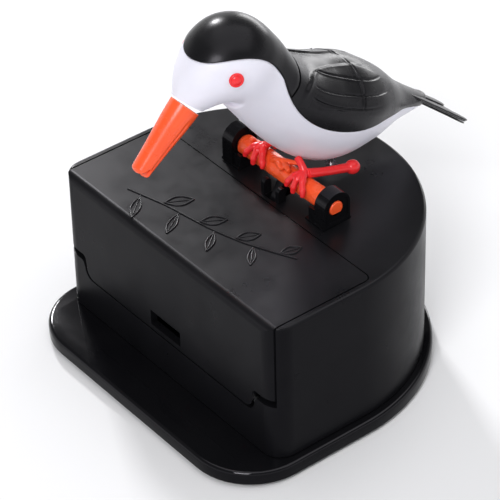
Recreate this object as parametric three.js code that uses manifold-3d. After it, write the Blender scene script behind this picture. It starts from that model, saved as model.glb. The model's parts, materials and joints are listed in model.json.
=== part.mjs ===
// Bird toothpick dispenser: a box with a bird on a perch that bows to pick a toothpick.
// Millimetres, +Z up. The bird faces -Y, and X runs along its perch.
// Inside the builders below, y = 0 is the front face of the housing and z = 0 the table.
import * as THREE from 'three';
import { mergeVertices } from 'three/addons/utils/BufferGeometryUtils.js';
import Module from 'manifold-3d';

const wasm = await Module();
wasm.setup();

// ---- driving dimensions ----
const GAP = 0.3;                    // clearance between pieces that meet
const WALL = 2;                     // moulded wall thickness

const HOUSING_HALF = 43;            // half width of the box
const HOUSING_TOP = 45;
const HOUSING_CORNER = 5.5;
const TOP_ROUND = 0.9;
const ARC_Y = 27.3;                 // centre of the round back
const FOOT_HEIGHT = 0.7;
const BASE_BOTTOM = FOOT_HEIGHT + GAP;
const BASE_TOP = 4.7;
const BASE_MARGIN = 2.2;            // flange beyond the housing, sides and back
const BASE_FRONT = -13.2;           // front ledge
const BASE_CORNER = 17;

const COVER_HALF = 40.9;
const COVER_REAR = 31;
const COVER_GAP = 0.4;
const COVER_CORNER = 1.8;           // its rear corners, in plan
const LIP_BOTTOM = 16.3;            // middle of the cover's lower edge
const LIP_HALF = 33.6;
const LIP_ROUND = 3;                // radius of the rounded step at each end of that edge
const LIP_GAP = 0.8;                 // sideways clearance of the step, so that the open cover passes the wall
const NOTCH_BOTTOM = 22.7;          // the cover's lower edge at its corners
const WALL_MIDDLE = 15.8;           // top of the housing's low front wall
const WALL_CORNER = 20.7;
const WINDOW = { left: -6.6, right: 5.3, low: 17.6, high: 22.1 };
const COVER_PIVOT = { y: 1.5, z: 18.5, pin: 0.85, inner: 30.5, outer: 37.6 };
const COVER_EAR = [29.5, 32.2];      // the cover's ears and the housing's posts, across X
const COVER_POST = [35.1, 41.2];

const PERCH = { y: 38.1, z: 50.1, radius: 2.8, half: 15.9, stub: 2.0, end: 19.9 };
const BRACKET = { inner: 16.2, outer: 20, half: 4.1, cradle: 13.4 };

const BOW_RANGE = THREE.MathUtils.degToRad(57);
const LEVER = { x: 0.65, length: 11, angle: BOW_RANGE / 2, half: 1.2, width: 2.4, pin: 1.1, root: 0.9 };
const SLIDER_TRAVEL = 2 * LEVER.length * Math.sin(LEVER.angle);
const SLIDER = { rear: 36.2, front: 28.9, low: 34.5, high: 37, barRear: 31.2, yokeHalf: 28 };
const BLADE = { front: 13, rear: 16, low: 12.5, high: 17 };
const ARM = { inner: 36, outer: 38.2 };
const HOPPER = { inner: 34.3, outer: 35.8, front: 5.2, rear: 28.5, top: 40 };
const SPRING = { radius: 3, wire: 0.4, turns: 8, z: 35.7, rear: 63.6 };

const BIRD_WALL = 1.6;
const EYE = { x: 9.6, y: 16.3, z: 92.0, radius: 1.8 };
const BEAK = { y: 8.4, z: 83.4, length: 19.6, droop: 42.5 };
const TAIL = { y: 72, z: 60.5, tipY: 98.3, slope: 40, thick: 1.5 };
const FOOT_X = 7.8;
const BELLY_SCREWS = [[4.6, 49], [-4.6, 49]];
const BASE_LENGTH = TAIL.tipY - BASE_FRONT;
const ORIGIN_Y = BASE_FRONT + BASE_LENGTH / 2;

// Side views below are (y, z) points of quadratic curves laid end to end: every second point lies on the line,
// and the one between two such points steers the curve.
// The middle line of the bird's body, from the face over the head to the rump.
const SPINE = [[9, 84], [15, 91.5], [23, 91], [28.5, 88], [34, 82.5], [45, 68], [84, 53]];
// The body's sections: place along the spine (one per curve), half width, height above, depth below.
const SECTIONS = [
  [0, 5, 4.5, 5],
  [0.3, 8, 7.5, 8.5],
  [0.65, 10.5, 10, 12],
  [1, 11.5, 11, 13.5],
  [1.5, 11, 8.5, 13],
  [2.1, 12, 6.5, 15.5],
  [2.35, 13.5, 8.5, 18],
  [2.55, 14, 10.5, 17.5],
  [2.7, 11.5, 9, 12.5],
  [2.83, 7.5, 5, 7.5],
  [2.95, 4, 2, 4],
];
// The line where the black plumage meets the white.
const PLUMAGE_LINE = [
  [2, 97.5], [8, 95.5], [13, 96.5], [26, 98.5], [30, 86.5], [33.5, 65], [58, 62.5], [67, 62], [84, 49.5],
];
// A folded wing, from its shoulder along the back to its tip and home along the flank.
const WING_OUTLINE = [
  [33, 79.5], [36, 86], [46, 82.5], [62, 74], [75, 60.5], [62, 64.5], [52, 65.5], [37, 68], [33, 79.5],
];
const NAPE_SEAM = { y: 30.3, z: 86.0, slope: 46 };

// ---- materials ----
const plastic = (color, roughness) => new THREE.MeshStandardMaterial({ color, roughness, metalness: 0 });
const paint = {
  satinBlack: () => plastic(0x1c1c1e, 0.38),
  glossBlack: () => plastic(0x0b0b0d, 0.2),
  white: () => plastic(0xeeeef4, 0.35),
  orange: () => plastic(0xf2541b, 0.32),
  red: () => plastic(0xe5352b, 0.3),
  rubber: () => plastic(0x151515, 0.85),
  steel: () => new THREE.MeshStandardMaterial({ color: 0xb9bcc0, roughness: 0.3, metalness: 1 }),
};

// ---- solids ----
function solid(geometry) {
  const plain = geometry.index ? geometry.toNonIndexed() : geometry.clone();
  plain.deleteAttribute('normal');
  plain.deleteAttribute('uv');
  const merged = mergeVertices(plain, 1e-4);
  return new wasm.Manifold(new wasm.Mesh({
    numProp: 3,
    vertProperties: new Float32Array(merged.attributes.position.array),
    triVerts: new Uint32Array(merged.index.array),
  }));
}

function geometryOf(manifold) {
  const mesh = manifold.getMesh();
  const geometry = new THREE.BufferGeometry();
  geometry.setAttribute('position', new THREE.BufferAttribute(new Float32Array(mesh.vertProperties), 3));
  geometry.setIndex(new THREE.BufferAttribute(new Uint32Array(mesh.triVerts), 1));
  geometry.computeVertexNormals();
  return geometry;
}

function block(x0, x1, y0, y1, z0, z1) {
  const geometry = new THREE.BoxGeometry(x1 - x0, y1 - y0, z1 - z0);
  geometry.translate((x0 + x1) / 2, (y0 + y1) / 2, (z0 + z1) / 2);
  return solid(geometry);
}

function rodX(radius, x0, x1, y, z, sides = 20) {
  const geometry = new THREE.CylinderGeometry(radius, radius, x1 - x0, sides);
  geometry.rotateZ(-Math.PI / 2);
  geometry.translate((x0 + x1) / 2, y, z);
  return solid(geometry);
}

function rodZ(radius, z0, z1, x, y, sides = 20) {
  const geometry = new THREE.CylinderGeometry(radius, radius, z1 - z0, sides);
  geometry.rotateX(Math.PI / 2);
  geometry.translate(x, y, (z0 + z1) / 2);
  return solid(geometry);
}

function shapeOf(points) {
  return new THREE.Shape(points.map(([a, b]) => new THREE.Vector2(a, b)));
}

// A plan-view shape, extruded upwards.
function slab(shape, z0, z1, curveSegments = 14) {
  const geometry = new THREE.ExtrudeGeometry(shape, { depth: z1 - z0, bevelEnabled: false, curveSegments });
  geometry.translate(0, 0, z0);
  return solid(geometry);
}

// A side-view shape in (y, z), extruded along X.
function sidePlate(shape, x0, x1, curveSegments = 8) {
  const geometry = new THREE.ExtrudeGeometry(shape, { depth: x1 - x0, bevelEnabled: false, curveSegments });
  geometry.applyMatrix4(new THREE.Matrix4().makeBasis(
    new THREE.Vector3(0, 1, 0), new THREE.Vector3(0, 0, 1), new THREE.Vector3(1, 0, 0)));
  geometry.translate(x0, 0, 0);
  return solid(geometry);
}

// A front-view shape in (x, z), extruded along Y.
function frontPlate(points, y0, y1) {
  const geometry = new THREE.ExtrudeGeometry(shapeOf(points), { depth: y1 - y0, bevelEnabled: false });
  geometry.applyMatrix4(new THREE.Matrix4().makeBasis(
    new THREE.Vector3(1, 0, 0), new THREE.Vector3(0, 0, 1), new THREE.Vector3(0, -1, 0)));
  geometry.translate(0, y1, 0);
  return solid(geometry);
}

// A round bar along a smooth curve through the points.
function bar(points, radius, steps = 8, sides = 8) {
  const curve = new THREE.CatmullRomCurve3(points.map((p) => new THREE.Vector3(...p)));
  const circle = new THREE.Shape().absarc(0, 0, radius, 0, 2 * Math.PI);
  const options = { extrudePath: curve, steps, curveSegments: sides, bevelEnabled: false };
  return solid(new THREE.ExtrudeGeometry(circle, options));
}

function ball(radius, x, y, z, stretch = [1, 1, 1]) {
  const geometry = new THREE.SphereGeometry(radius, 12, 8);
  geometry.scale(...stretch);
  geometry.translate(x, y, z);
  return solid(geometry);
}

// Joins rings of equal length into a closed body, from the first ring to the last.
function loft(rings) {
  const count = rings[0].length;
  const positions = rings.flat().flatMap((p) => [p.x, p.y, p.z]);
  const index = [];
  rings.slice(1).forEach((_, r) => {
    for (let i = 0; i < count; i++) {
      const a = r * count + i;
      const b = r * count + (i + 1) % count;
      index.push(a, b, b + count, a, b + count, a + count);
    }
  });
  [rings[0], rings[rings.length - 1]].forEach((ring, end) => {
    const centre = ring.reduce((sum, p) => sum.clone().add(p), new THREE.Vector3()).divideScalar(count);
    const hub = positions.length / 3;
    positions.push(centre.x, centre.y, centre.z);
    const start = end ? (rings.length - 1) * count : 0;
    for (let i = 0; i < count; i++) {
      const a = start + i;
      const b = start + (i + 1) % count;
      index.push(...(end ? [a, b, hub] : [b, a, hub]));
    }
  });
  const geometry = new THREE.BufferGeometry();
  geometry.setAttribute('position', new THREE.BufferAttribute(new Float32Array(positions), 3));
  geometry.setIndex(index);
  return solid(geometry);
}

function smooth(points, perSpan) {
  const at = (i) => points[Math.max(0, Math.min(points.length - 1, i))];
  const cubic = (p0, p1, p2, p3, t) => 0.5 * (2 * p1 + (p2 - p0) * t
    + (2 * p0 - 5 * p1 + 4 * p2 - p3) * t * t + (3 * p1 - p0 - 3 * p2 + p3) * t * t * t);
  const out = [];
  for (let i = 0; i < points.length - 1; i++) {
    for (let k = 0; k < perSpan; k++) {
      const [p0, p1, p2, p3] = [at(i - 1), at(i), at(i + 1), at(i + 2)];
      out.push(p1.map((_, c) => cubic(p0[c], p1[c], p2[c], p3[c], k / perSpan)));
    }
  }
  out.push(points[points.length - 1]);
  return out;
}

// ---- housing ----
function housingOutline(inset, corner) {
  const half = HOUSING_HALF - inset;
  const shape = new THREE.Shape();
  shape.moveTo(-half + corner, inset);
  shape.lineTo(half - corner, inset);
  shape.absarc(half - corner, inset + corner, corner, -Math.PI / 2, 0);
  shape.absarc(0, ARC_Y, half, 0, Math.PI);
  shape.absarc(-half + corner, inset + corner, corner, Math.PI, 1.5 * Math.PI);
  return shape;
}

const BOSSES = [[-39.4, 12], [39.4, 12], [-22.5, 58.5], [22.5, 58.5]];
const BOSS_TOP = 12;
const RAIL = { inner: 24, outer: 27, front: 28.8, rear: 51, hanger: 48.6, low: 32.6 };
const LUG = { inner: 2.2, outer: 3.4, front: 32.6, rear: 34.9, top: 49 };   // beside the lever's slot
const PIN_FIT = 0.15;

function basePlate() {
  const half = HOUSING_HALF + BASE_MARGIN;
  const bevel = 0.7;
  const shape = new THREE.Shape();
  const corner = BASE_CORNER - bevel;
  const front = BASE_FRONT + bevel;
  const side = half - bevel;
  shape.moveTo(-side + corner, front);
  shape.lineTo(side - corner, front);
  shape.absarc(side - corner, front + corner, corner, -Math.PI / 2, 0);
  shape.absarc(0, ARC_Y, side, 0, Math.PI);
  shape.absarc(-side + corner, front + corner, corner, Math.PI, 1.5 * Math.PI);
  const geometry = new THREE.ExtrudeGeometry(shape, {
    depth: BASE_TOP - BASE_BOTTOM - 2 * bevel, bevelThickness: bevel, bevelSize: bevel,
    bevelSegments: 2, curveSegments: 20,
  });
  geometry.translate(0, 0, BASE_BOTTOM + bevel);
  let plate = solid(geometry);
  for (const [x, y] of BOSSES) {
    plate = plate.subtract(rodZ(3, BASE_BOTTOM - 1, BASE_BOTTOM + 1.9, x, y));
    plate = plate.subtract(rodZ(1.5, BASE_BOTTOM, BASE_TOP + 1, x, y, 12));
  }
  return plate;
}

// The cover's lower edge at its right corner, or the wall's edge under it, in front view (x, z):
// a rounded step from the low middle part up to the corner part.
function lipCorner(out, low, high) {
  const steps = 5;
  const points = [];
  for (let k = 0; k <= steps; k++) {
    const turn = (Math.PI / 2) * (k / steps);
    points.push([LIP_HALF + out - LIP_ROUND * (1 - Math.sin(turn)), low + LIP_ROUND * (1 - Math.cos(turn))]);
  }
  points.push([LIP_HALF + out + 0.7, high - 0.5], [LIP_HALF + out + 1.2, high]);
  return points;
}

// A plan-view outline with rounded rear corners that runs out past the front face.
function roundedRear(half, rear, corner) {
  const shape = new THREE.Shape();
  shape.moveTo(-half, -1);
  shape.lineTo(half, -1);
  shape.absarc(half - corner, rear - corner, corner, 0, Math.PI / 2);
  shape.absarc(-half + corner, rear - corner, corner, Math.PI / 2, Math.PI);
  return shape;
}

function housingShell() {
  const bottom = BASE_TOP + GAP;
  const round = TOP_ROUND;
  const blank = new THREE.ExtrudeGeometry(housingOutline(round, HOUSING_CORNER - round), {
    depth: HOUSING_TOP - bottom, bevelThickness: round, bevelSize: round, bevelSegments: 3, curveSegments: 22,
  });
  blank.translate(0, 0, bottom - round);
  const outer = solid(blank).subtract(block(-50, 50, -10, 80, bottom - 2 * round - 1, bottom));
  const inner = slab(housingOutline(WALL, HOUSING_CORNER - WALL), bottom - 1, HOUSING_TOP - WALL);
  const edge = COVER_HALF + COVER_GAP;
  const ramp = lipCorner(LIP_GAP, WALL_MIDDLE, WALL_CORNER);
  const mouth = frontPlate([
    [-edge, HOUSING_TOP + 1], [-edge, WALL_CORNER], ...ramp.map(([x, z]) => [-x, z]).reverse(),
    ...ramp, [edge, WALL_CORNER], [edge, HOUSING_TOP + 1],
  ], -1, COVER_REAR + GAP).intersect(slab(roundedRear(edge, COVER_REAR + GAP, COVER_CORNER + GAP), 0, 50, 5));
  let shell = outer.subtract(inner).subtract(mouth);
  for (const side of [-1, 1]) {
    const span = (a, b) => [Math.min(side * a, side * b), Math.max(side * a, side * b)];
    shell = shell.add(block(...span(...COVER_POST), COVER_PIVOT.y, 3.9, bottom, WALL_CORNER));
    const rail = span(RAIL.inner, RAIL.outer);
    shell = shell.add(block(...rail, RAIL.front, RAIL.rear, RAIL.low, SLIDER.low - GAP));
    shell = shell.add(block(...rail, RAIL.hanger, RAIL.rear, RAIL.low, HOUSING_TOP - 1));
    shell = shell.add(block(...span(LEVER.x * side + LUG.inner, LEVER.x * side + LUG.outer),
      LUG.front, LUG.rear, HOUSING_TOP - 1, LUG.top));
    shell = shell.subtract(rodX(COVER_PIVOT.pin + PIN_FIT, ...span(32.5, COVER_PIVOT.outer + GAP),
      COVER_PIVOT.y, COVER_PIVOT.z));
  }
  for (const [x, y] of BOSSES) {
    const bore = rodZ(1.4, bottom - 1, BOSS_TOP - 0.8, x, y, 12);
    shell = shell.add(rodZ(3.2, bottom, BOSS_TOP, x, y).subtract(bore));
  }
  shell = shell.add(block(-5, 6.3, SPRING.rear + GAP, 67, 30, 44));
  shell = shell.add(block(LEVER.x - 1.2, LEVER.x + 1.2, 48.5, 65, SPRING.z - 1.2, SPRING.z + 1.2));
  return shell.subtract(block(LEVER.x - 1.9, LEVER.x + 1.9, 32.4, 43.8, 40, HOUSING_TOP + 1));
}

function frontCover() {
  const fillet = 2.2;
  const profile = new THREE.Shape();
  profile.moveTo(0, LIP_BOTTOM);
  profile.lineTo(WALL, LIP_BOTTOM);
  profile.lineTo(WALL, HOUSING_TOP - WALL);
  profile.lineTo(COVER_REAR, HOUSING_TOP - WALL);
  profile.lineTo(COVER_REAR, HOUSING_TOP);
  profile.lineTo(fillet, HOUSING_TOP);
  profile.absarc(fillet, HOUSING_TOP - fillet, fillet, Math.PI / 2, Math.PI);
  let cover = sidePlate(profile, -COVER_HALF, COVER_HALF)
    .intersect(slab(roundedRear(COVER_HALF, COVER_REAR, COVER_CORNER), 10, 50, 5))
    .intersect(slab(housingOutline(0, HOUSING_CORNER), 10, 50, 14));
  for (const side of [-1, 1]) {
    const points = [[LIP_HALF - LIP_ROUND, 10], [LIP_HALF + 8, 10], [LIP_HALF + 8, NOTCH_BOTTOM],
      ...lipCorner(0, LIP_BOTTOM, NOTCH_BOTTOM).reverse()];
    const corners = side < 0 ? points.map(([x, z]) => [-x, z]).reverse() : points;
    cover = cover.subtract(frontPlate(corners, -1, WALL + 1));
    const span = (a, b) => (side < 0 ? [-b, -a] : [a, b]);
    cover = cover.add(block(...span(...COVER_EAR), WALL - 0.5, 3.8, LIP_BOTTOM, 22));
    cover = cover.subtract(rodX(COVER_PIVOT.pin + PIN_FIT, ...span(30, 36), COVER_PIVOT.y, COVER_PIVOT.z));
  }
  return cover.subtract(block(WINDOW.left, WINDOW.right, -1, WALL + 1, WINDOW.low, WINDOW.high));
}

function coverPin(side) {
  const { inner, outer, pin, y, z } = COVER_PIVOT;
  return side < 0 ? rodX(pin, -outer, -inner, y, z) : rodX(pin, inner, outer, y, z);
}

// ---- toothpick feed ----
function toothpickHopper() {
  const floor = shapeOf([[HOPPER.rear, 32], [HOPPER.rear, 34], [11, 20.2], [11, 18.2]]);
  let hopper = sidePlate(floor, -HOPPER.outer, HOPPER.outer);
  hopper = hopper.add(block(-HOPPER.outer, HOPPER.outer, HOPPER.front, 12.4, 14.6, 16.1));
  for (const x of [-HOPPER.outer, HOPPER.inner]) {
    const thick = HOPPER.outer - HOPPER.inner;
    const cheek = block(x, x + thick, HOPPER.front, HOPPER.rear, BASE_TOP + GAP, HOPPER.top);
    const slot = block(x - 1, x + thick + 1, BLADE.front - GAP, BLADE.rear + SLIDER_TRAVEL + GAP, 12.2, 17.3);
    hopper = hopper.add(cheek).subtract(slot);
  }
  return hopper;
}

function feedSlider() {
  let slider = block(-ARM.outer, ARM.outer, SLIDER.front, SLIDER.barRear, SLIDER.low, SLIDER.high)
    .add(block(-SLIDER.yokeHalf, SLIDER.yokeHalf, SLIDER.front + 0.5, SLIDER.rear, SLIDER.low, SLIDER.high));
  const arm = shapeOf([
    [SLIDER.barRear, SLIDER.low], [SLIDER.barRear, SLIDER.high], [SLIDER.front, SLIDER.high],
    [BLADE.front, BLADE.high], [BLADE.front, BLADE.low], [BLADE.rear + 1, BLADE.low],
  ]);
  slider = slider.add(sidePlate(arm, ARM.inner, ARM.outer)).add(sidePlate(arm, -ARM.outer, -ARM.inner));
  slider = slider.add(block(-ARM.inner - 1, ARM.inner + 1, BLADE.front, BLADE.rear, BLADE.low, BLADE.high));
  const pinY = PERCH.y - LEVER.length * Math.sin(LEVER.angle);
  const notch = LEVER.pin + GAP;
  for (const x of [LEVER.x - 3.6, LEVER.x + 2]) {
    const plate = block(x, x + 1.6, SLIDER.front, SLIDER.rear, SLIDER.low, HOUSING_TOP - WALL - 0.5);
    slider = slider.add(plate).subtract(block(x - 1, x + 2.6, pinY - notch, pinY + notch, 37.3, 44));
  }
  return slider;
}

// A bar along the lever's direction, between two distances from the perch's axis.
function leverBar(halfX, halfY, from, to) {
  const geometry = new THREE.BoxGeometry(2 * halfX, 2 * halfY, to - from);
  geometry.translate(0, 0, -(from + to) / 2);
  geometry.rotateX(-LEVER.angle);
  geometry.translate(LEVER.x, PERCH.y, PERCH.z);
  return solid(geometry);
}

function feedLever() {
  const { x, half, width, length, angle, pin, root } = LEVER;
  const tipY = PERCH.y - length * Math.sin(angle);
  const tipZ = PERCH.z - length * Math.cos(angle);
  return leverBar(half, width / 2, root, length).add(rodX(pin, x - 4, x + 4, tipY, tipZ, 16));
}

function returnSpring() {
  const front = SLIDER.rear + GAP + SPRING.wire;
  const rear = SPRING.rear - SPRING.wire;
  const steps = SPRING.turns * 10;
  const points = Array.from({ length: steps + 1 }, (_, i) => {
    const turn = 2 * Math.PI * SPRING.turns * i / steps;
    const along = front + (rear - front) * i / steps;
    const across = SPRING.radius * Math.cos(turn);
    return new THREE.Vector3(LEVER.x + across, along, SPRING.z + SPRING.radius * Math.sin(turn));
  });
  const wire = new THREE.Shape().absarc(0, 0, SPRING.wire, 0, 2 * Math.PI);
  const path = new THREE.CatmullRomCurve3(points);
  const options = { extrudePath: path, steps, curveSegments: 3, bevelEnabled: false };
  return solid(new THREE.ExtrudeGeometry(wire, options));
}

// ---- perch ----
function perchBracket(side) {
  const { inner, outer, half, cradle } = BRACKET;
  const foot = HOUSING_TOP + GAP;
  const arch = new THREE.Shape();
  arch.moveTo(PERCH.y - half, foot);
  arch.lineTo(PERCH.y + half, foot);
  arch.absarc(PERCH.y, PERCH.z + 0.5, half, 0, Math.PI);
  const span = (a, b) => (side < 0 ? [-b, -a] : [a, b]);
  return sidePlate(arch, ...span(inner, outer))
    .add(block(...span(cradle, inner + 1), PERCH.y - half + 0.5, PERCH.y + half - 0.5, foot, PERCH.z - 1.2))
    .add(block(...span(cradle - 0.3, outer), PERCH.y - half - 0.35, PERCH.y + half + 0.35, foot, foot + 0.6))
    .subtract(rodX(PERCH.radius + 0.35, ...span(cradle - 2, inner), PERCH.y, PERCH.z, 24))
    .subtract(rodX(PERCH.stub + 0.2, ...span(inner - 1, outer + 1), PERCH.y, PERCH.z, 24));
}

function perchBranch() {
  const { y, z, radius, half, stub, end } = PERCH;
  const flat = block(-end - 1, -half, y - stub, y + stub, z - stub - 1, z - 1)
    .add(block(half, end + 1, y - stub, y + stub, z - stub - 1, z - 1));
  const socket = leverBar(LEVER.half + GAP, LEVER.width / 2 + GAP, LEVER.root - GAP, radius + 1);
  return rodX(radius, -half, half, y, z, 28).add(rodX(stub, -end, end, y, z)).subtract(flat).subtract(socket);
}

// A foot grips the perch with three front toes and one rear toe under a short leg.
function birdFoot(side) {
  const reach = PERCH.radius + GAP + 0.85;
  const toe = (x0, x1, from, to) => {
    const points = [0, 0.33, 0.67, 1].map((t) => {
      const angle = THREE.MathUtils.degToRad(from + (to - from) * t);
      return [x0 + (x1 - x0) * t, PERCH.y + reach * Math.cos(angle), PERCH.z + reach * Math.sin(angle)];
    });
    return bar(points, 0.85, 5, 3);
  };
  const x = side * FOOT_X;
  const inner = side < 0 ? 3.2 : 2.6;       // the right foot's inner toe stays clear of the lug beside it
  let foot = toe(x, x - inner, 95, 182).add(toe(x, x + 0.2, 95, 192)).add(toe(x, x + 3.2, 95, 182));
  foot = foot.add(ball(1.5, x, PERCH.y - 0.4, PERCH.z + reach));
  const leg = [[x, PERCH.y - 0.3, PERCH.z + reach], [x, PERCH.y + 0.4, PERCH.z + reach + 2.4]];
  foot = foot.add(bar(leg, 1.2, 2, 3));
  const heel = [[x + 0.4, PERCH.y + 0.5, PERCH.z + reach], [x + 1.2, PERCH.y + 5.5, PERCH.z + 2.6],
    [x + 2.2, PERCH.y + 13.2, PERCH.z + 0.9]];
  return side < 0 ? foot : foot.add(bar(heel, 0.95, 5, 3)).add(ball(1.9, ...heel[2]));
}

// ---- bird ----
function curvesOf(points) {
  const ends = points.map(([y, z]) => new THREE.Vector2(y, z));
  const curves = [];
  for (let i = 0; i + 2 < ends.length; i += 2) {
    curves.push(new THREE.QuadraticBezierCurve(ends[i], ends[i + 1], ends[i + 2]));
  }
  return curves;
}

function outlineOf(points, perCurve) {
  const curves = curvesOf(points);
  const line = curves.flatMap((curve) => curve.getPoints(perCurve).slice(0, -1));
  return [...line, curves.at(-1).getPoint(1)].map(({ x, y }) => [x, y]);
}

function bodyStations() {
  const curves = curvesOf(SPINE);
  return SECTIONS.map(([place, ...sizes]) => {
    const piece = Math.min(Math.floor(place), curves.length - 1);
    const { x, y } = curves[piece].getPoint(place - piece);
    return [x, y, ...sizes];
  });
}

function birdBody(inset) {
  const stations = smooth(bodyStations(), 2);
  const sides = 22;
  const rings = stations.map(([y, z, half, up, down], i) => {
    const [y0, z0] = stations[Math.max(0, i - 1)];
    const [y1, z1] = stations[Math.min(stations.length - 1, i + 1)];
    const along = new THREE.Vector2(y1 - y0, z1 - z0).normalize();
    return Array.from({ length: sides }, (_, k) => {
      const angle = 2 * Math.PI * k / sides;
      const rise = Math.cos(angle) * (Math.cos(angle) > 0 ? up - inset : down - inset);
      return new THREE.Vector3((half - inset) * Math.sin(angle), y - along.y * rise, z + along.x * rise);
    });
  });
  const used = inset > 0 ? rings.slice(1, -2) : rings;
  return loft(used);
}

function blackRegion(shift) {
  const line = outlineOf(PLUMAGE_LINE, 9).map(([y, z]) => [y + shift * 0.7, z + shift]);
  return sidePlate(shapeOf([...line, [90, 120], [2, 120]]), -30, 30);
}

function napeCut(shift) {
  const slope = THREE.MathUtils.degToRad(NAPE_SEAM.slope);
  const y = NAPE_SEAM.y + shift;
  const top = [y + 40 * Math.cos(slope), NAPE_SEAM.z + 40 * Math.sin(slope)];
  const bottom = [y - 12 * Math.cos(slope), NAPE_SEAM.z - 12 * Math.sin(slope)];
  return sidePlate(shapeOf([bottom, top, [-10, 125], [-10, 75]]), -30, 30);
}

function bellyShell(skin) {
  return skin.subtract(blackRegion(0));
}

function headCap(skin) {
  return skin.intersect(blackRegion(GAP)).intersect(napeCut(-GAP));
}

function tailFan() {
  const slope = THREE.MathUtils.degToRad(TAIL.slope);
  const length = (TAIL.tipY - TAIL.y - TAIL.thick * Math.sin(slope)) / Math.cos(slope);
  const feathers = [[0, length, 2.6], [2.6, length - 3.2, 2.4], [4.6, length - 7, 2.1]];
  let fan = null;
  feathers.forEach(([offset, reach, half], layer) => {
    for (const side of layer ? [-1, 1] : [1]) {
      const x = side * offset;
      const blade = slab(shapeOf([[x * 0.5 - half, 0], [x * 0.5 + half, 0], [x + half, reach - 2],
        [x + half * 0.4, reach], [x - half * 0.4, reach], [x - half, reach - 2]]), 0, TAIL.thick)
        .translate(0, 0, -0.45 * layer);
      fan = fan ? fan.add(blade) : blade;
    }
  });
  return fan.rotate([-TAIL.slope, 0, 0]).translate(0, TAIL.y, TAIL.z);
}

function backShell(skin) {
  const wings = sidePlate(shapeOf(outlineOf(WING_OUTLINE, 8).slice(0, -1)), -30, 30)
    .subtract(block(-2.4, 2.4, 0, 100, 40, 120));
  const raised = birdBody(-0.9).subtract(birdBody(BIRD_WALL)).intersect(wings);
  const body = skin.intersect(blackRegion(GAP)).subtract(napeCut(0));
  const lid = birdBody(0).intersect(block(-10, 10, 68, 90, 40, 70)).intersect(blackRegion(GAP));
  return body.add(raised.intersect(blackRegion(GAP)).subtract(napeCut(0))).add(lid).add(tailFan());
}

function beakSolid() {
  const droop = THREE.MathUtils.degToRad(BEAK.droop);
  const along = new THREE.Vector3(0, -Math.cos(droop), -Math.sin(droop));
  const across = new THREE.Vector3(0, -Math.sin(droop), Math.cos(droop));
  // Along the beak: share of its length, half width, half height.
  const profile = [
    [0, 4.5, 4.6], [0.12, 4.4, 4.4], [0.5, 3.4, 3.2], [0.85, 2.6, 2.2], [0.96, 2.4, 1.9], [1, 1.7, 1.3],
  ];
  const sides = 20;
  const rings = profile.map(([t, half, high]) => Array.from({ length: sides }, (_, k) => {
    const angle = 2 * Math.PI * k / sides;
    return new THREE.Vector3(half * Math.sin(angle), BEAK.y, BEAK.z)
      .addScaledVector(along, GAP + t * BEAK.length)
      .addScaledVector(across, high * Math.cos(angle));
  }));
  const notch = new THREE.BoxGeometry(10, 4, 1.1);
  notch.rotateX(droop);
  const tip = new THREE.Vector3(0, BEAK.y, BEAK.z).addScaledVector(along, BEAK.length + 1);
  notch.translate(tip.x, tip.y, tip.z);
  return loft(rings.reverse()).subtract(solid(notch));
}

// A small screw under the belly; its head stands proud of the white shell.
function bellyScrew(x, y) {
  return rodZ(1.5, 49.4, 53, x, y, 14).subtract(birdBody(-0.15));
}

function birdEye(side) {
  return ball(EYE.radius, side * (EYE.x + 0.9), EYE.y, EYE.z, [0.55, 1, 1]);
}

// ---- assembly ----
const group = new THREE.Group();
const assembly = new THREE.Group();
assembly.position.y = -ORIGIN_Y;
group.add(assembly);

function place(name, manifold, material) {
  const mesh = new THREE.Mesh(geometryOf(manifold), material);
  mesh.name = name;
  assembly.add(mesh);
}

place('base_plate', basePlate(), paint.glossBlack());
place('housing_shell', housingShell(), paint.satinBlack());
place('front_cover', frontCover(), paint.satinBlack());
place('toothpick_hopper', toothpickHopper(), paint.satinBlack());
place('feed_slider', feedSlider(), paint.satinBlack());
place('feed_lever', feedLever(), paint.satinBlack());
place('return_spring', returnSpring(), paint.steel());
place('perch', perchBranch(), paint.orange());
for (const [label, side] of [['left', -1], ['right', 1]]) {
  place(`cover_pivot_pin_${label}`, coverPin(side), paint.steel());
  place(`perch_bracket_${label}`, perchBracket(side), paint.glossBlack());
}
BOSSES.forEach(([x, y], i) => {
  const head = rodZ(2.6, BASE_BOTTOM + 0.3, BASE_BOTTOM + 1.6, x, y, 16);
  const screw = rodZ(1.1, BASE_BOTTOM + 0.8, BOSS_TOP - 1.2, x, y, 10).add(head);
  place(`base_screw_${i + 1}`, screw, paint.steel());
});
[[-34, -4], [34, -4], [-30, 46], [30, 46]].forEach(([x, y], i) => {
  place(`rubber_foot_${i + 1}`, rodZ(5, 0, FOOT_HEIGHT, x, y), paint.rubber());
});

const skin = birdBody(0).subtract(birdBody(BIRD_WALL));
const legs = [-1, 1].map((side) => birdFoot(side).subtract(birdBody(-GAP)).subtract(
  rodX(PERCH.radius + GAP, -16, 16, PERCH.y, PERCH.z, 24)));
const eyes = [-1, 1].map((side) => birdEye(side).subtract(birdBody(-0.1)));
BELLY_SCREWS.forEach(([x, y], i) => place(`belly_screw_${i + 1}`, bellyScrew(x, y), paint.steel()));
place('foot_left', legs[0], paint.red());
place('foot_right', legs[1], paint.red());
place('belly_shell', bellyShell(skin), paint.white());
place('head_cap', headCap(skin), paint.satinBlack());
place('back_shell', backShell(skin), paint.satinBlack());
place('beak', beakSolid(), paint.orange());
place('eye_left', eyes[0], paint.red());
place('eye_right', eyes[1], paint.red());

export default group;
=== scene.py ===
"""Looks of the bird toothpick dispenser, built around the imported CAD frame.

Sizes are written in millimetres, with y = 0 on the housing's front face and z = 0 on the table;
point() turns them into the frame's metres.
"""
import json
import math

import bmesh
import bpy
import numpy as np
from mathutils import Matrix, Vector, noise


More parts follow.
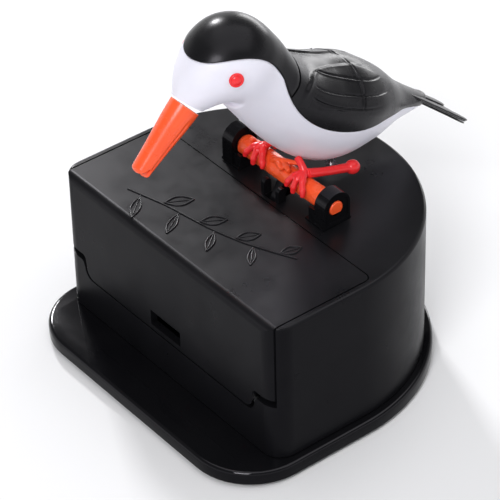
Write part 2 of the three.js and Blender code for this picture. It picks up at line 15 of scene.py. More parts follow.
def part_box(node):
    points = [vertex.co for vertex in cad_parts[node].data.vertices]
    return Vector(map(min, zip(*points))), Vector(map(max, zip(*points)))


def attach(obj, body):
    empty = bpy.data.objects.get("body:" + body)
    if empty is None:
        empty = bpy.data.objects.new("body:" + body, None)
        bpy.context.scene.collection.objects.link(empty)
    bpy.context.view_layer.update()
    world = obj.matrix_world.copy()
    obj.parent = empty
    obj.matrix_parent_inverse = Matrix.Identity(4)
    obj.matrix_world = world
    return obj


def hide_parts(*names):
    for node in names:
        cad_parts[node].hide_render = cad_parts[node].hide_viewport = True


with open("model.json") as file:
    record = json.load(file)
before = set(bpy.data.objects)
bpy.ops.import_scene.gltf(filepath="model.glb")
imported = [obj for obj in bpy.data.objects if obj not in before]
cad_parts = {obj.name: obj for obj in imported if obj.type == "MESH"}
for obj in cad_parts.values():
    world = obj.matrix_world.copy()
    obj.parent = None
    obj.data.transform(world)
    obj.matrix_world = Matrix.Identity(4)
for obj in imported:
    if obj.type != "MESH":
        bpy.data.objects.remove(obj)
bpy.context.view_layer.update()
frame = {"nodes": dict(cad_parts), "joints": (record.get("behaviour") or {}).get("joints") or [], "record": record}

MM = 0.001
FRONT_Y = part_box("housing_shell")[0].y
DECK_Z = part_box("front_cover")[1].z / MM
COVER_REAR = (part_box("front_cover")[1].y - FRONT_Y) / MM
PIVOT = {j["name"]: j.get("pos_m") for j in frame["joints"]}
PERCH_Y = (PIVOT["bird_bow"][1] - FRONT_Y) / MM
PERCH_Z = PIVOT["bird_bow"][2] / MM
TAIL_TIP_Y = (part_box("back_shell")[1].y - FRONT_Y) / MM

def point(x, y, z):
    return Vector((x * MM, FRONT_Y + y * MM, z * MM))

def circle(count):
    """The angles of equal steps around a full turn."""
    return [2 * math.pi * k / count for k in range(count)]

def linked(name, data):
    """A new object that holds the data, linked to the scene."""
    obj = bpy.data.objects.new(name, data)
    bpy.context.scene.collection.objects.link(obj)
    return obj

def evaluated_mesh(obj):
    """The object's mesh with its modifiers applied."""
    bpy.context.view_layer.update()
    return bpy.data.meshes.new_from_object(obj.evaluated_get(bpy.context.evaluated_depsgraph_get()))

def set_inputs(node, values):
    for label, value in values.items():
        node.inputs[label].default_value = value

def remapped(tree, value, source, target, interpolation="LINEAR"):
    """Maps a node's output from one range to another."""
    node = tree.nodes.new("ShaderNodeMapRange")
    node.interpolation_type = interpolation
    set_inputs(node, dict(zip(("From Min", "From Max", "To Min", "To Max"), (*source, *target))))
    tree.links.new(value, node.inputs["Value"])
    return node.outputs["Result"]

# ---- camera, floor and light
CAMERA = {"azimuth": 52.4, "elevation": 37.6, "roll": -1.5, "distance": 708, "lens": 210}
TARGET = (10.9, 18.1, 42.1)

def add_camera():
    azimuth, elevation, roll = (math.radians(CAMERA[k]) for k in ("azimuth", "elevation", "roll"))
    back = Vector((math.sin(azimuth) * math.cos(elevation), -math.cos(azimuth) * math.cos(elevation),
                   math.sin(elevation)))
    right = Vector((math.cos(azimuth), math.sin(azimuth), 0))
    up = back.cross(right)
    rolled_right = right * math.cos(roll) + up * math.sin(roll)
    rolled_up = up * math.cos(roll) - right * math.sin(roll)
    data = bpy.data.cameras.new("camera")
    data.lens = CAMERA["lens"]
    data.sensor_width = 36
    data.clip_start = 0.01
    data.clip_end = 20
    camera = linked("camera", data)
    turn = Matrix((rolled_right, rolled_up, back)).transposed().to_4x4()
    place = point(*TARGET) + back * CAMERA["distance"] * MM
    camera.matrix_world = Matrix.Translation(place) @ turn
    bpy.context.scene.camera = camera

HORIZON_STRENGTH = 1.0     # the white sweep behind and around the table
SKY_STRENGTH = 0.12
SWEEP_BAND = (0.10, 0.50)  # upward part of the direction, over which the sweep fades into the sky
FLOOR_HALF = 3.0
# Each softbox: name, place in metres, width, height and power in watts.
SOFTBOXES = [
    ("overhead", (0.10, 0.20, 1.25), 1.60, 1.60, 10),
    ("camera_side", (0.50, -0.75, 0.85), 0.40, 0.40, 7.2),
    ("back_left", (-0.84, 0.29, 0.60), 0.12, 0.12, 6.0),
    ("back_rim", (-0.50, 0.82, 0.13), 0.50, 0.20, 2.0),
]

def add_area_light(name, place, aim, width, height, power):
    data = bpy.data.lights.new(name, "AREA")
    data.energy = power
    data.shape = "RECTANGLE"
    data.size = width
    data.size_y = height
    direction = Vector(aim) - Vector(place)
    turn = direction.to_track_quat("-Z", "Y").to_matrix().to_4x4()
    linked(name, data).matrix_world = Matrix.Translation(place) @ turn

def add_studio():
    world = bpy.data.worlds.new("studio")
    bpy.context.scene.world = world
    world.use_nodes = True
    tree = world.node_tree
    background = tree.nodes["Background"]
    background.inputs["Color"].default_value = (1.0, 1.0, 1.0, 1)
    direction = tree.nodes.new("ShaderNodeTexCoord")
    parts = tree.nodes.new("ShaderNodeSeparateXYZ")
    tree.links.new(direction.outputs["Generated"], parts.inputs["Vector"])
    strength = remapped(tree, parts.outputs["Z"], SWEEP_BAND, (HORIZON_STRENGTH, SKY_STRENGTH), "SMOOTHSTEP")
    tree.links.new(strength, background.inputs["Strength"])
    bpy.context.scene.view_settings.view_transform = "Standard"
    centre = (0, 0, 0.05)
    for name, place, width, height, power in SOFTBOXES:
        add_area_light(name, place, centre, width, height, power)
    mesh = bpy.data.meshes.new("floor")
    corners = [(x * FLOOR_HALF, y * FLOOR_HALF, 0) for x, y in ((-1, -1), (1, -1), (1, 1), (-1, 1))]
    mesh.from_pydata(corners, [], [(0, 1, 2, 3)])
    material, _, shader = new_material("floor_paper")
    set_inputs(shader, {"Base Color": (0.84, 0.84, 0.86, 1), "Roughness": 0.9})
    mesh.materials.append(material)
    linked("floor", mesh)

# ---- materials
def new_material(name):
    material = bpy.data.materials.new(name)
    material.use_nodes = True
    tree = material.node_tree
    return material, tree, tree.nodes["Principled BSDF"]

def noise_node(tree, scale, detail=3.0, roughness=0.55):
    """A noise texture in object space; scale counts features per millimetre."""
    coordinates = tree.nodes.new("ShaderNodeTexCoord")
    texture = tree.nodes.new("ShaderNodeTexNoise")
    set_inputs(texture, {"Scale": scale / MM, "Detail": detail, "Roughness": roughness})
    tree.links.new(coordinates.outputs["Object"], texture.inputs["Vector"])
    return texture

NOISE_BAND = (0.3, 0.7)    # most of a noise texture's values lie between these

def ramp_between(tree, factor, low, high):
    """A colour between two, driven by a noise texture."""
    ramp = tree.nodes.new("ShaderNodeValToRGB")
    for element, position, color in zip(ramp.color_ramp.elements, NOISE_BAND, (low, high)):
        element.position = position
        element.color = (*color, 1)
    tree.links.new(factor, ramp.inputs["Fac"])
    return ramp.outputs["Color"]

def moulded_plastic(name, low, high, roughness, grain=6.0, bump=0.06, subsurface=0.0, specular=0.5,
                    wall_specular=None):
    """Moulded plastic: cloudy colour, uneven gloss, a fine spark-eroded skin; steep walls may shine less."""
    material, tree, shader = new_material(name)
    links = tree.links
    clouds = noise_node(tree, 0.05, 4.0)
    color = ramp_between(tree, clouds.outputs["Fac"], low, high)
    links.new(color, shader.inputs["Base Color"])
    smudge = noise_node(tree, 0.12, 5.0, 0.6)
    gloss = remapped(tree, smudge.outputs["Fac"], NOISE_BAND, (roughness * 0.85, roughness * 1.2))
    links.new(gloss, shader.inputs["Roughness"])
    skin = noise_node(tree, grain, 2.0)
    relief = tree.nodes.new("ShaderNodeBump")
    set_inputs(relief, {"Strength": bump, "Distance": 0.05 * MM})
    links.new(skin.outputs["Fac"], relief.inputs["Height"])
    links.new(relief.outputs["Normal"], shader.inputs["Normal"])
    set_inputs(shader, {"IOR": 1.49, "Specular IOR Level": specular, "Specular Tint": (0.95, 0.92, 1.0, 1)})
    if wall_specular is not None:
        facing = tree.nodes.new("ShaderNodeTexCoord")
        parts = tree.nodes.new("ShaderNodeSeparateXYZ")
        links.new(facing.outputs["Normal"], parts.inputs["Vector"])
        upward = remapped(tree, parts.outputs["Z"], (0.15, 0.75), (wall_specular, specular))
        links.new(upward, shader.inputs["Specular IOR Level"])
    if subsurface:
        set_inputs(shader, {"Subsurface Weight": subsurface, "Subsurface Scale": 1.0,
                            "Subsurface Radius": (1.2 * MM, 1.0 * MM, 0.9 * MM)})
    return material

def plated_steel(name):
    """Zinc-plated steel with drawn streaks."""
    material, tree, shader = new_material(name)
    streaks = noise_node(tree, 2.5, 6.0, 0.7)
    color = ramp_between(tree, streaks.outputs["Fac"], (0.42, 0.42, 0.44), (0.72, 0.72, 0.74))
    tree.links.new(color, shader.inputs["Base Color"])
    shader.inputs["Metallic"].default_value = 1.0
    tree.links.new(remapped(tree, streaks.outputs["Fac"], (0, 1), (0.2, 0.42)), shader.inputs["Roughness"])
    return material

MATERIALS = {
    "satin_black_plastic": moulded_plastic(
        "satin_black", (0.0045, 0.0045, 0.0055), (0.0065, 0.0065, 0.0078), 0.31,
        grain=5.0, bump=0.10, specular=0.24, wall_specular=0.055),
    "gloss_black_plastic": moulded_plastic(
        "gloss_black", (0.004, 0.004, 0.005), (0.006, 0.006, 0.007), 0.07,
        grain=1.2, bump=0.03, specular=0.32, wall_specular=0.08),
    "plumage_black": moulded_plastic(
        "plumage_black", (0.006, 0.006, 0.007), (0.009, 0.009, 0.010), 0.27,
        grain=3.0, bump=0.05, specular=0.20),
    "plumage_white": moulded_plastic(
        "plumage_white", (0.75, 0.74, 0.83), (0.81, 0.80, 0.89), 0.36, grain=2.0, bump=0.04, subsurface=0.1),
    "orange_plastic": moulded_plastic(
        "orange", (0.92, 0.085, 0.020), (0.96, 0.12, 0.032), 0.26, grain=1.5, bump=0.05, subsurface=0.1),
    "red_plastic": moulded_plastic(
        "red", (0.80, 0.018, 0.020), (0.87, 0.030, 0.034), 0.22, grain=1.5, bump=0.05, subsurface=0.1),
    "steel": plated_steel("plated_steel"),
    "rubber": moulded_plastic(
        "foot_rubber", (0.016, 0.016, 0.016), (0.03, 0.03, 0.03), 0.75, grain=4.0, bump=0.2),
}

# ---- mesh helpers
def new_piece(name, mesh, body, slot, replaced=(), angle=40):
    """Links a mesh as a piece that rides on a body and takes its record slot's material."""
    obj = linked(name, mesh)
    mesh.materials.clear()
    mesh.materials.append(MATERIALS[slot])
    for polygon in mesh.polygons:
        polygon.use_smooth = True
        polygon.material_index = 0
    mesh.set_sharp_from_angle(angle=math.radians(angle))
    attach(obj, body)
    if replaced:
        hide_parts(*replaced)
    return obj

def mesh_from_bmesh(name, bm):
    bmesh.ops.remove_doubles(bm, verts=bm.verts, dist=1e-7)
    bmesh.ops.recalc_face_normals(bm, faces=bm.faces)
    mesh = bpy.data.meshes.new(name)
    bm.to_mesh(mesh)
    bm.free()
    return mesh

def tube_mesh(name, rings, flat_ends=False):
    """A closed body through rings of points, with fan caps or flat ends."""
    bm = bmesh.new()
    rows = [[bm.verts.new(p) for p in ring] for ring in rings]
    count = len(rows[0])
    for lower, upper in zip(rows, rows[1:]):
        for i in range(count):
            j = (i + 1) % count
            bm.faces.new((lower[i], lower[j], upper[j], upper[i]))
    if flat_ends:
        bm.faces.new(list(reversed(rows[0])))
        bm.faces.new(rows[-1])
        return mesh_from_bmesh(name, bm)
    for row in (rows[0], rows[-1]):
        hub = bm.verts.new(sum((v.co for v in row), Vector()) / count)
        for i in range(count):
            bm.faces.new((row[i], row[(i + 1) % count], hub))
    return mesh_from_bmesh(name, bm)

def shell_mesh(name, outer, inner):
    """A closed shell between two equal grids of points, stitched around its four sides."""
    bm = bmesh.new()
    layers = [[[bm.verts.new(p) for p in row] for row in grid] for grid in (outer, inner)]
    rows, columns = len(outer), len(outer[0])
    for grid in layers:
        for i in range(rows - 1):
            for j in range(columns - 1):
                bm.faces.new((grid[i][j], grid[i][j + 1], grid[i + 1][j + 1], grid[i + 1][j]))
    rim = [(0, j) for j in range(columns)] + [(i, columns - 1) for i in range(1, rows)]
    rim += [(rows - 1, j) for j in range(columns - 2, -1, -1)] + [(i, 0) for i in range(rows - 2, 0, -1)]
    for (a, b), (c, d) in zip(rim, rim[1:] + rim[:1]):
        bm.faces.new((layers[0][a][b], layers[0][c][d], layers[1][c][d], layers[1][a][b]))
    return mesh_from_bmesh(name, bm)

def bar_mesh(name, path, radius_at, sides=14, steps=40):
    """A round bar along a smooth path; radius_at gives its radius from 0 to 1 along the path."""
    places = smooth_curve(path, steps)
    rings = []
    side = None
    for i, place in enumerate(places):
        along = (places[min(i + 1, len(places) - 1)] - places[max(i - 1, 0)]).normalized()
        if side is None:
            side = along.orthogonal().normalized()
        side = (side - along * side.dot(along)).normalized()
        other = along.cross(side)
        t = i / (len(places) - 1)
        radius = radius_at(t) * MM
        rings.append([place + (side * math.cos(a) + other * math.sin(a)) * radius
                      for a in circle(sides)])
    return tube_mesh(name, rings)

def smooth_curve(points, steps):
    """A Catmull-Rom curve of Vectors through the points."""
    points = [Vector(p) for p in points]
    ends = [points[0] * 2 - points[1]] + points + [points[-1] * 2 - points[-2]]
    spans = len(points) - 1
    out = []
    for k in range(steps + 1):
        place = k / steps * spans
        i = min(int(place), spans - 1)
        t = place - i
        a, b, c, d = ends[i:i + 4]
        out.append(0.5 * (2 * b + (c - a) * t + (2 * a - 5 * b + 4 * c - d) * t * t
                          + (3 * b - a - 3 * c + d) * t ** 3))
    return out

def rounded_edges(obj, width, segments, angle):
    """Rounds the edges that are sharper than the angle."""
    bevel = obj.modifiers.new("rounded_edges", "BEVEL")
    bevel.width = width * MM
    bevel.segments = segments
    bevel.limit_method = "ANGLE"
    bevel.angle_limit = math.radians(angle)
    bevel.use_clamp_overlap = True
    return bevel

def refined(node, body, slot):
    """A copy of a CAD node with its flat faces joined up and its edges rounded."""
    angle = 32
    bm = bmesh.new()
    bm.from_mesh(frame["nodes"][node].data)
    bmesh.ops.remove_doubles(bm, verts=bm.verts, dist=1e-6)
    bmesh.ops.dissolve_limit(bm, angle_limit=math.radians(0.6), verts=bm.verts, edges=bm.edges)
    obj = new_piece(node + "_moulding", mesh_from_bmesh(node + "_moulding", bm), body, slot, [node], angle)
    rounded_edges(obj, 0.2, 2, angle).harden_normals = True
    return obj

def smoothstep(low, high, value):
    t = np.clip((value - low) / (high - low), 0, 1)
    return t * t * (3 - 2 * t)

# ---- the bird's surface
def chain_place(points, place):
    """A point on quadratic curves laid end to end; at whole numbers two of them meet."""
    piece = min(int(place), len(points) // 2 - 1)
    t = place - piece
    a, b, c = np.array(points[2 * piece:2 * piece + 3], float)
    return (1 - t) ** 2 * a + 2 * t * (1 - t) * b + t ** 2 * c

def chain_line(points, count):
    """Points along such curves: every second given point lies on the line, the others steer it."""
    return np.array([chain_place(points, place) for place in np.linspace(0, len(points) // 2, count)])

# The body's middle line in side view (y, z), from the face over the head to the rump.
SPINE = [(9, 84), (15, 91.5), (23, 91), (28.5, 88), (34, 82.5), (45, 68), (84, 53)]
# Sections: place along the spine (one per curve), half width, height above, depth below.
SECTIONS = [
    (0, 4.5, 5, 5),
    (0.3, 8, 7.5, 8.5),
    (0.65, 10.5, 10, 12),
    (1, 11.5, 10.7, 13.5),
    (1.5, 11, 8.5, 13),
    (2.1, 12, 6, 15.5),
    (2.35, 13.5, 8, 18),
    (2.55, 14, 10, 17.5),
    (2.7, 11.5, 8.5, 12.5),
    (2.83, 7, 4.5, 7.5),
    (2.95, 3.5, 1.5, 4),
    (2.98, 2, 1, 2.5),
    (2.995, 0.3, 0.3, 0.3),
]
BIRD = np.array([[*chain_place(SPINE, place), *sizes] for place, *sizes in SECTIONS])
LAST = len(BIRD) - 1
# The line where the black plumage meets the white, in side view.
PLUMAGE_LINE = [(2, 97.5), (8, 95.5), (13, 96.5), (26, 98.5), (30, 86.5), (33.5, 65), (58, 62.5), (67, 62),
                (84, 49.5)]
BLACK_SKIN = -0.18       # the black shells' outer face, measured from the section outline
WHITE_SKIN = -0.42       # the white body's face
SHELL_THICK = 1.1
BLACK_RIM = 0.22         # edge radii of the black shells and of the white body beside them
WHITE_RIM = 0.3
THROAT_ROUNDS = 420

def curve_at(points, t):
    """Catmull-Rom through an array of points at the parameters t, with clamped ends."""
    points = np.asarray(points, float)
    t = np.clip(np.asarray(t, float), 0, len(points) - 1)
    i = np.minimum(t.astype(int), len(points) - 2)
    f = (t - i)[..., None]
    a, b = points[np.maximum(i - 1, 0)], points[i]
    c, d = points[i + 1], points[np.minimum(i + 2, len(points) - 1)]
    return 0.5 * (2 * b + (c - a) * f + (2 * a - 5 * b + 4 * c - d) * f ** 2
                  + (3 * b - a - 3 * c + d) * f ** 3)

def edge_drop(gap, radius):
    """How far a rounded edge lies below its face, at a distance from the rim."""
    return radius - np.sqrt(np.maximum(radius ** 2 - np.maximum(radius - gap, 0) ** 2, 0))

LINE_FINE = chain_line(PLUMAGE_LINE, 401)
SECTION_STEPS = np.linspace(0, LAST, 2001)
SPINE_LENGTH = np.concatenate([[0], np.cumsum(np.linalg.norm(np.diff(
    curve_at(BIRD, SECTION_STEPS)[:, :2], axis=0), axis=1))])

def section(s):
    """Section values and the side-view unit vectors along and across the spine at s."""
    values = curve_at(BIRD, s)
    ahead = curve_at(BIRD, np.minimum(s + 0.5, LAST))[..., :2]
    behind = curve_at(BIRD, np.maximum(s - 0.5, 0))[..., :2]
    along = ahead - behind
    along /= np.linalg.norm(along, axis=-1, keepdims=True)
    across = np.stack([-along[..., 1], along[..., 0]], -1)
    return values, along, across

def skin_raw(s, angle):
    """Points on the bird's outline surface; angle 0 is the back's middle line."""
    values, _, across = section(s)
    upper = np.maximum(np.cos(angle), 0)
    rise = np.cos(angle) * np.where(np.cos(angle) > 0, values[..., 3], values[..., 4])
    slim = 1 - 0.14 * upper ** 2 * smoothstep(4.4, 5.6, s) * (1 - smoothstep(7.6, 8.6, s))
    return np.stack([values[..., 2] * np.sin(angle) * slim, values[..., 0] + across[..., 0] * rise,
                     values[..., 1] + across[..., 1] * rise], -1)

def skin(s, angle, offset):
    """Points at a distance outside the outline surface, along its normal."""
    step = 0.02
    ds = skin_raw(np.minimum(s + step, LAST), angle) - skin_raw(np.maximum(s - step, 0), angle)
    da = skin_raw(s, angle + step) - skin_raw(s, angle - step)
    normal = np.cross(da, ds)
    normal /= np.maximum(np.linalg.norm(normal, axis=-1, keepdims=True), 1e-9)
    return skin_raw(s, angle) + normal * np.asarray(offset)[..., None]

def seam_angle(s):
    """Half the angle that the black plumage covers at section s, from the back's middle line."""
    angles = np.linspace(0, math.pi, 721)
    places = skin_raw(np.full_like(angles, s), angles)
    above = places[:, 2] - np.interp(places[:, 1], LINE_FINE[:, 0], LINE_FINE[:, 1])
    if above[0] <= 0:
        return 0.0
    crossing = np.argmax(above <= 0)
    a, b = above[crossing - 1], above[crossing]
    return float(angles[crossing - 1] + (angles[1] - angles[0]) * a / (a - b))

def locate(y, z):
    """Section and angle of the surface point that a side view shows at (y, z)."""
    values, along, across = section(SECTION_STEPS)
    to_point = np.array([y, z]) - values[:, :2]
    miss = np.abs((to_point * along).sum(1)) + 0.05 * np.linalg.norm(to_point, axis=1)
    best = int(np.argmin(miss))
    height = float(to_point[best] @ across[best])
    reach = values[best, 3] if height > 0 else values[best, 4]
    return SECTION_STEPS[best], math.acos(max(-1, min(1, height / reach)))

def unrolled(s, angle):
    """Distance along the spine and around the girth, in millimetres."""
    along = np.interp(s, SECTION_STEPS, SPINE_LENGTH)
    values = curve_at(BIRD, s)
    girth = (values[..., 2] + values[..., 3]) / 2
    return along, np.abs(angle) * girth

def unrolled_line(points, count=60):
    """A side-view line carried onto the unrolled skin."""
    places = np.array([locate(y, z) for y, z in chain_line(points, 12)])
    fine = curve_at(places, np.linspace(0, len(places) - 1, count))
    return np.stack(unrolled(fine[:, 0], fine[:, 1]), -1)

# The folded wing's front and inner edge: section, and degrees from the back's middle line.
WING_EDGE = [(5, 122), (4.6, 85), (5, 50), (5.3, 13), (6.6, 13), (7.4, 12), (8.2, 18)]
FEATHERS = [
    [(47.5, 80), (54.5, 78.5), (63, 72)],
    [(42, 82), (46, 78), (64, 70.5)],
    [(39, 81), (42.5, 76), (66.5, 67)],
    [(37, 79.5), (41, 73.5), (60, 67)],
]
FEATHER_DEPTHS = (0.30, 0.36, 0.38, 0.26)
QUILL = [(56.5, 76.5), (54, 74), (51.5, 69.5)]
QUILL_DEPTH = 0.36
QUILL_RIDGE = 0.16
WING_HEIGHT = 0.5
WING_CREST = 0.14
FEATHER_LINES = [unrolled_line(f) for f in FEATHERS]
QUILL_LINE = unrolled_line(QUILL)
EDGE_FINE = chain_line(WING_EDGE, 91)
EDGE_LINE = np.stack(unrolled(EDGE_FINE[:, 0], np.radians(EDGE_FINE[:, 1])), -1)
WING_END = locate(70, 64)[0]

def line_distance(line, along, girth):
    """Signed distance to an unrolled line (positive below it), and the share of the line passed."""
    best = np.full(along.shape, 1e9)
    sign = np.ones(along.shape)
    share = np.zeros(along.shape)
    for k in range(len(line) - 1):
        a, b = line[k], line[k + 1]
        d = b - a
        t = np.clip(((along - a[0]) * d[0] + (girth - a[1]) * d[1]) / (d @ d), 0, 1)
        gap = np.hypot(along - a[0] - t * d[0], girth - a[1] - t * d[1])
        nearer = gap < best
        best = np.where(nearer, gap, best)
        cross = d[0] * (girth - a[1]) - d[1] * (along - a[0])
        sign = np.where(nearer, np.sign(cross), sign)
        share = np.where(nearer, (k + t) / (len(line) - 1), share)
    return best * sign, share

def grooved(raised, gap, inside, depth, ridge):
    """Cuts a fine groove along a line and raises a ridge beside it."""
    raised = raised - depth * inside * np.exp(-(gap / 0.26) ** 2)
    return raised + ridge * inside * np.exp(-((gap - 0.5) / 0.32) ** 2)

def wing_relief(s, angle):
    """Height of the folded wings, their raised front edges and their feather lines over the back."""
    along, girth = unrolled(s, angle)
    inward, passed = line_distance(EDGE_LINE, along, girth)
    soft = 1 + 4 * smoothstep(0.5, 1.0, passed)
    end = unrolled(WING_END, 0.0)[0]
    wing = smoothstep(-0.15 * soft, 1.0 * soft, inward) * (1 - smoothstep(end - 12, end + 1, along))
    crest = np.exp(-((inward - 1.0) / 0.55) ** 2) * (1 - smoothstep(0.6, 0.9, passed))
    raised = WING_HEIGHT * wing + WING_CREST * wing * crest
    for line, depth in zip(FEATHER_LINES, FEATHER_DEPTHS):
        gap, share = line_distance(line, along, girth)
        inside = wing * smoothstep(0.0, 0.12, share) * (1 - smoothstep(0.75, 1.0, share))
        raised = grooved(raised, gap, inside, depth, 0.45 * depth)
    gap, share = line_distance(QUILL_LINE, along, girth)
    inside = smoothstep(0.0, 0.12, share) * (1 - smoothstep(0.85, 1.0, share))
    return grooved(raised, gap, inside, QUILL_DEPTH, QUILL_RIDGE)

def to_frame(grid):
    return [[point(*p) for p in row] for row in grid]

def black_shell(name, start, stop, rows, columns, relief, replaced):
    """A black shell over the sections from start to stop, with rounded rims."""
    stations = start + (stop - start) * np.linspace(0, 1, rows) ** (2.0 if relief is None else 1.0)
    half = np.array([seam_angle(s) for s in stations])
    share = np.sin(np.linspace(-math.pi / 2, math.pi / 2, columns))
    share = 0.35 * share + 0.65 * np.linspace(-1, 1, columns)
    s = np.repeat(stations[:, None], columns, 1)
    angle = half[:, None] * share[None, :]
    values = curve_at(BIRD, s)
    rim = (half[:, None] - np.abs(angle)) * values[..., 2]
    along, _ = unrolled(s, angle)
    rim_ends = np.minimum(along - along[0, 0], along[-1, 0] - along)
    rim = np.minimum(rim, rim_ends if relief is None else along[-1, 0] - along + 1)
    height = BLACK_SKIN - edge_drop(rim, BLACK_RIM)
    if relief is not None:
        height = height + relief(s, angle) * smoothstep(0.0, 5.5, rim)
    outer = skin(s, angle, height)
    inner = skin(s, angle, np.full(s.shape, BLACK_SKIN - SHELL_THICK))
    mesh = shell_mesh(name, to_frame(outer), to_frame(inner))
    return new_piece(name, mesh, "bird", "plumage_black", replaced, 60)

def first_black_section():
    """The section where the black plumage begins, found by halving."""
    low, high = 0.0, 3.0
    for _ in range(40):
        middle = (low + high) / 2
        if seam_angle(middle) > 0:
            high = middle
        else:
            low = middle
    return high

NAPE = 4.62              # section where the head cap meets the back shell

def smooth_throat(rings, stations, white):
    """Relaxes the fold where the chin turns into the breast, and leaves the rest of the body alone."""
    grid = np.array([[list(p) for p in ring] for ring in rings])
    rows = smoothstep(1.3, 2.5, stations) * (1 - smoothstep(5.4, 6.8, stations))
    columns = np.zeros(grid.shape[1])
    place = np.linspace(0, 1, white)
    columns[:white] = smoothstep(0.06, 0.26, place) * (1 - smoothstep(0.74, 0.94, place))
    weight = 0.5 * (rows[:, None] * columns[None, :])[..., None]
    for _ in range(THROAT_ROUNDS):
        mean = grid.copy()
        mean[1:-1] = (grid[:-2] + grid[2:]) / 2
        side = (np.roll(grid, 1, axis=1) + np.roll(grid, -1, axis=1)) / 2
        grid = grid + weight * (0.75 * mean + 0.25 * side - grid)
    return [[Vector(p) for p in ring] for ring in grid]

def build_white_body():
    """The white body: the whole outline, sunk where the black shells lie on it."""
    stations = np.linspace(0, LAST, 216)
    white, black = 96, 40
    tuck = 0.12 / curve_at(BIRD, stations)[:, 2]
    half = np.maximum(np.array([seam_angle(s) for s in stations]) - tuck, 0)
    rings = []
    for s, edge in zip(stations, half):
        open_angles = np.linspace(edge, 2 * math.pi - edge, white)
        covered = -edge + 2 * edge * (np.arange(1, black) / black)
        angle = np.concatenate([open_angles, 2 * math.pi + covered])
        distance = np.concatenate([np.minimum(open_angles - edge, 2 * math.pi - edge - open_angles),
                                   np.minimum(covered + edge, edge - covered) * -1])
        gap = distance * curve_at(BIRD, s)[2]
        rolled = edge_drop(gap, WHITE_RIM) if edge > 0 else 0
        depth = np.where(gap >= 0, rolled, SHELL_THICK + 0.25)
        rings.append([point(*p) for p in skin(np.full_like(angle, s), angle, WHITE_SKIN - depth)])
    rings = smooth_throat(rings, stations, white)
    first = rings[0]
    hub = sum(first, Vector()) / len(first)
    _, along, _ = section(np.array(0.0))
    forward = Vector((0, -along[0], -along[1])) * MM
    lip = [[hub + (p - hub) * (1 - 0.035 * (1 - math.cos(t))) + forward * (0.25 * math.sin(t)) for p in first]
           for t in (math.pi / 2, math.pi / 3, math.pi / 6)]
    rings = lip + rings
    mesh = tube_mesh("belly_body", rings)
    return new_piece("belly_body", mesh, "bird", "plumage_white", ["belly_shell"], 50)

def build_tail():
    """Overlapping tail feathers, the middle one longest, each with a raised shaft."""
    slope = math.radians(40)
    root_y, root_z = 70.5, 61.4
    along = Vector((0, math.cos(slope), -math.sin(slope)))
    normal = Vector((0, math.sin(slope), math.cos(slope)))
    full = (TAIL_TIP_Y - root_y) / math.cos(slope) - 1.4
    # Each feather: sideways offset, length, half width at the tip, lift over the middle one.
    feathers = [(0.0, full, 2.4, 0.0), (2.4, full - 3.0, 2.2, 0.9), (4.5, full - 5.2, 2.0, 1.5)]
    rows, columns = 44, 28
    for layer, (offset, reach, half, lift) in enumerate(feathers):
        for side in ((1,) if layer == 0 else (-1, 1)):
            rings = []
            for i in range(rows + 1):
                t = i / rows
                tip = math.sqrt(max(1 - max(0, (t - 0.88) / 0.12) ** 2, 0.02))
                width = half * (0.78 + 0.22 * t) * tip
                centre = side * offset * (0.42 + 0.58 * t)
                ring = []
                for turn in circle(columns):
                    across = math.cos(turn)
                    upper = math.sin(turn)
                    height = 0.36 * math.copysign(abs(upper) ** 0.6, upper) * (0.6 + 0.4 * tip)
                    if upper > 0:
                        height += 0.16 * math.exp(-(across * width / 0.3) ** 2) * (1 - t)
                    stack = lift * (0.6 + 0.4 * t) - 0.5 * t * t
                    ring.append(point(centre + across * width, root_y, root_z)
                                + along * (t * reach * MM) + normal * ((height + stack) * MM))
                rings.append(ring)
            label = "middle" if layer == 0 else f"{layer}_{'left' if side < 0 else 'right'}"
            new_piece(f"tail_feather_{label}", tube_mesh("tail_feather", rings), "bird", "plumage_black")

def build_beak():
    """The beak, with its mouth line down both sides and a split, rounded tip."""
    droop = math.radians(42.5)
    along = Vector((0, -math.cos(droop), -math.sin(droop)))
    across = Vector((0, -math.sin(droop), math.cos(droop)))
    root = point(0, 8.4, 83.4) + along * (0.15 * MM)
    length = 19.7
    profile = np.array([[3.8, 4.05], [3.62, 3.8], [3.28, 3.4], [2.95, 2.95], [2.7, 2.55], [2.5, 2.2]])
    rows, sides = 90, 72
    rings = []
    for i in range(rows + 1):
        t = i / rows
        half, tall = curve_at(profile, t * (len(profile) - 1))
        end = math.sqrt(max(1 - max(0, (t - 0.93) / 0.07) ** 2.2, 0.0004))
        ring = []
        for a in circle(sides):
            x, h = half * math.sin(a) * end, tall * math.cos(a) * end
            mouth = math.exp(-((h + 0.5) / 0.22) ** 2) * smoothstep(0.10, 0.2, t)
            x *= 1 - 0.10 * mouth
            split = smoothstep(0.84, 1.0, t) * math.exp(-(h / (0.5 + 0.2 * t)) ** 2)
            ridge = 0.12 * math.exp(-(x / 0.7) ** 2) * (h > 0) * (1 - t)
            place = root + along * ((t * length - 3.2 * split) * MM)
            ring.append(place + Vector((x * MM, 0, 0)) + across * ((h + ridge) * MM))
        rings.append(ring)
    return new_piece("beak_horn", tube_mesh("beak_horn", rings), "bird", "orange_plastic", ["beak"], 50)

